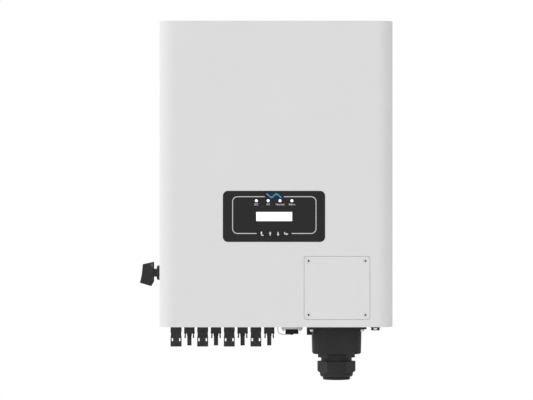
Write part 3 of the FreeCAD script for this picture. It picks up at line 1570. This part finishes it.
def dc_switch_knob():
    body = new_body("dc_switch_knob")
    corners = [(f"{KNOB_INNER} - {out}", f"{above('switch_height')} + {up}")
               for out, up in KNOB_OUTLINE]
    plate(body, "Handle", "XZ_Plane", around(behind("switch_depth"), "knob_thickness"), [corners])
    doc.recompute()
    every = [f"Edge{number + 1}" for number in range(len(body.Tip.Shape.Edges))]
    dress(body, "Fillet", "HandleEdges", "knob_edge", every)
    rod(body, "Neck", "x", SWITCH_AXIS,
        (f"{KNOB_INNER} - knob_neck_root", f"{COLLAR_END} - knob_neck_gap"),
        "knob_neck_radius")
    rod(body, "ShaftBore", "x", SWITCH_AXIS, (f"{SHAFT_OUTER} - knob_bore_end_gap", COLLAR_END),
        "switch_shaft_radius + switch_shaft_gap", cut=True)
    return body


# ---------------------------------------------------------------- inside the housing

POWER_FACE = behind("power_board_depth")
CONTROL_FACE = behind("control_board_depth")
TERMINAL_FACE = behind("terminal_front")


def in_row(number, count, pitch):
    """The place of one of a row that is centred on the unit."""
    return f"({number - (count - 1) / 2}) * {pitch}"


def pole_x(number):
    return f"outlet_x + ({number - (POLES - 1) / 2}) * terminal_pole_pitch"


def power_modules():
    body = new_body("power_modules")
    for number in range(MODULES):
        box(body, f"Module{number}",
            around(in_row(number, MODULES, "module_pitch"), "module_width"),
            (behind("module_front"), behind("housing_back")),
            around(above("body_height - module_down"), "module_tall"))
    return body


def power_board():
    body = new_body("power_board")
    box(body, "Board", ("-power_board_half", "power_board_half"),
        (POWER_FACE, f"{POWER_FACE} + board_thickness"),
        (above("power_board_low"), above("body_height - power_board_top_gap")))
    box(body, "Driver", around("0", "module_window_x - 2 * driver_side"),
        (f"{POWER_FACE} + board_thickness / 2", f"{POWER_FACE} + board_thickness + driver_height"),
        around(above("body_height - module_down"), "module_tall / 2"))
    return body


def control_board():
    body = new_body("control_board")
    box(body, "Board", ("control_board_left", "control_board_right"),
        (CONTROL_FACE, f"{CONTROL_FACE} + board_thickness"),
        (above("control_board_low"), above("control_board_high")))
    box(body, "Processor",
        around("(control_board_left + control_board_right) / 2", "processor_size"),
        (f"{CONTROL_FACE} - processor_height", f"{CONTROL_FACE} + board_thickness / 2"),
        around(above("(control_board_low + control_board_high) / 2"), "processor_size"))
    box(body, "Header", around("control_board_right - header_side", "header_width"),
        (f"{CONTROL_FACE} - header_height", f"{CONTROL_FACE} + board_thickness / 2"),
        around(above("control_board_high - header_down"), "header_tall"))
    return body


def board_standoffs():
    body = new_body("board_standoffs")
    number = 0
    for side in ("-1", "1"):
        for height in ("power_board_low + standoff_inset",
                       "body_height - power_board_top_gap - standoff_inset"):
            rod(body, f"Post{number}", "y",
                (f"{side} * (power_board_half - standoff_inset)", above(height)),
                (f"{POWER_FACE} + board_thickness", INSIDE_BACK), "standoff_radius")
            number += 1
    for across in ("control_board_left + standoff_inset", "control_board_right - standoff_inset"):
        for height in ("control_board_low + standoff_inset", "control_board_high - standoff_inset"):
            rod(body, f"Post{number}", "y", (across, above(height)),
                (f"{CONTROL_FACE} + board_thickness", POWER_FACE), "standoff_radius")
            number += 1
    return body


def bus_capacitors():
    body = new_body("bus_capacitors")
    for number in range(CAPACITORS):
        rod(body, f"Can{number}", "y",
            (in_row(number, CAPACITORS, "capacitor_pitch"), above("body_height - capacitor_down")),
            (f"{POWER_FACE} - capacitor_length", POWER_FACE), "capacitor_radius")
    return body


def output_relays():
    body = new_body("output_relays")
    for number in range(RELAYS):
        box(body, f"Relay{number}",
            around(f"relay_first_x + {number} * relay_pitch", "relay_width"),
            (f"{POWER_FACE} - relay_length", POWER_FACE),
            around(above("relay_height"), "relay_tall"))
    return body


def inductors():
    """Potted chokes in cans against the back wall."""
    body = new_body("inductors")
    for number in range(CHOKES):
        box(body, f"Can{number}",
            around(in_row(number, CHOKES, "inductor_pitch"), "inductor_width"),
            (behind("inductor_front"), INSIDE_BACK),
            around(above("inductor_height"), "inductor_tall"))
    return body


def ac_terminal_block():
    """Five poles on a pedestal, each with a wire mouth below and a screw well in front."""
    body = new_body("ac_terminal_block")
    box(body, "Block", around("outlet_x", "terminal_width"),
        (TERMINAL_FACE, INSIDE_BACK), (above("terminal_low"), above("terminal_high")))
    for number in range(POLES):
        rod(body, f"WireMouth{number}", "z",
            (pole_x(number), f"{TERMINAL_FACE} + terminal_mouth_behind"),
            (above("terminal_low - overrun"), above("terminal_low + terminal_mouth_depth")),
            "terminal_mouth_radius", cut=True)
        rod(body, f"ScrewWell{number}", "y",
            (pole_x(number), above("terminal_high - terminal_screw_down")),
            (f"{TERMINAL_FACE} - overrun", f"{TERMINAL_FACE} + terminal_screw_height"),
            "terminal_screw_radius + terminal_screw_gap", cut=True)
    return body


def terminal_screws():
    body = new_body("terminal_screws")
    for number in range(POLES):
        rod(body, f"Screw{number}", "y",
            (pole_x(number), above("terminal_high - terminal_screw_down")),
            (f"{TERMINAL_FACE} + terminal_screw_sink", f"{TERMINAL_FACE} + terminal_screw_height"),
            "terminal_screw_radius")
    return body


# ---------------------------------------------------------------- build and write

def connectors():
    for number in range(2 * CONNECTOR_PAIRS):
        yield dc_positive(number) if number % 2 == 0 else dc_negative(number)


def main():
    pieces = [
        front_cover(), cover_gasket(), cover_screws(), main_housing(),
        heat_sink(), heat_sink_screws(), rear_hanger(), wall_bracket(), bracket_lock_screw(),
        earth_screw(), display_panel(), display_window(), lcd_module(), display_board(),
        led_light_pipes(), key_switches(), ac_access_cover(), access_cover_gasket(),
        access_cover_screws(), dc_connector_nuts(), dc_contacts(), port_connector(),
        port_jack_screws(), port_dust_cap(), cap_tether(), ac_outlet_box(),
        outlet_box_gasket(), outlet_box_screws(), gland_body(), gland_locknut(), gland_seal(),
        gland_pressure_ring(), gland_nut(), vent_valve(), dc_switch_body(), dc_switch_shaft(),
        switch_escutcheon(), switch_shaft_seal(), dc_switch_knob(), power_modules(),
        power_board(), control_board(), board_standoffs(), bus_capacitors(), output_relays(),
        inductors(), ac_terminal_block(), terminal_screws(),
    ]
    pieces += [key(number, name) for number, name in enumerate(KEYS)]
    pieces += list(connectors())
    doc.recompute()

    failed = [thing.Name for thing in doc.Objects
              if "Invalid" in thing.State or "Error" in thing.State]
    if failed:
        raise RuntimeError(f"these did not compute: {failed}")
    for piece in pieces:
        if piece.Shape.isNull() or not piece.Shape.isValid():
            raise RuntimeError(f"{piece.Label} has no valid shape")

    os.makedirs("parts", exist_ok=True)
    for piece in pieces:
        piece.Shape.exportStep(f"parts/{piece.Label}.step")
    print(f"{len(pieces)} pieces written")


main()
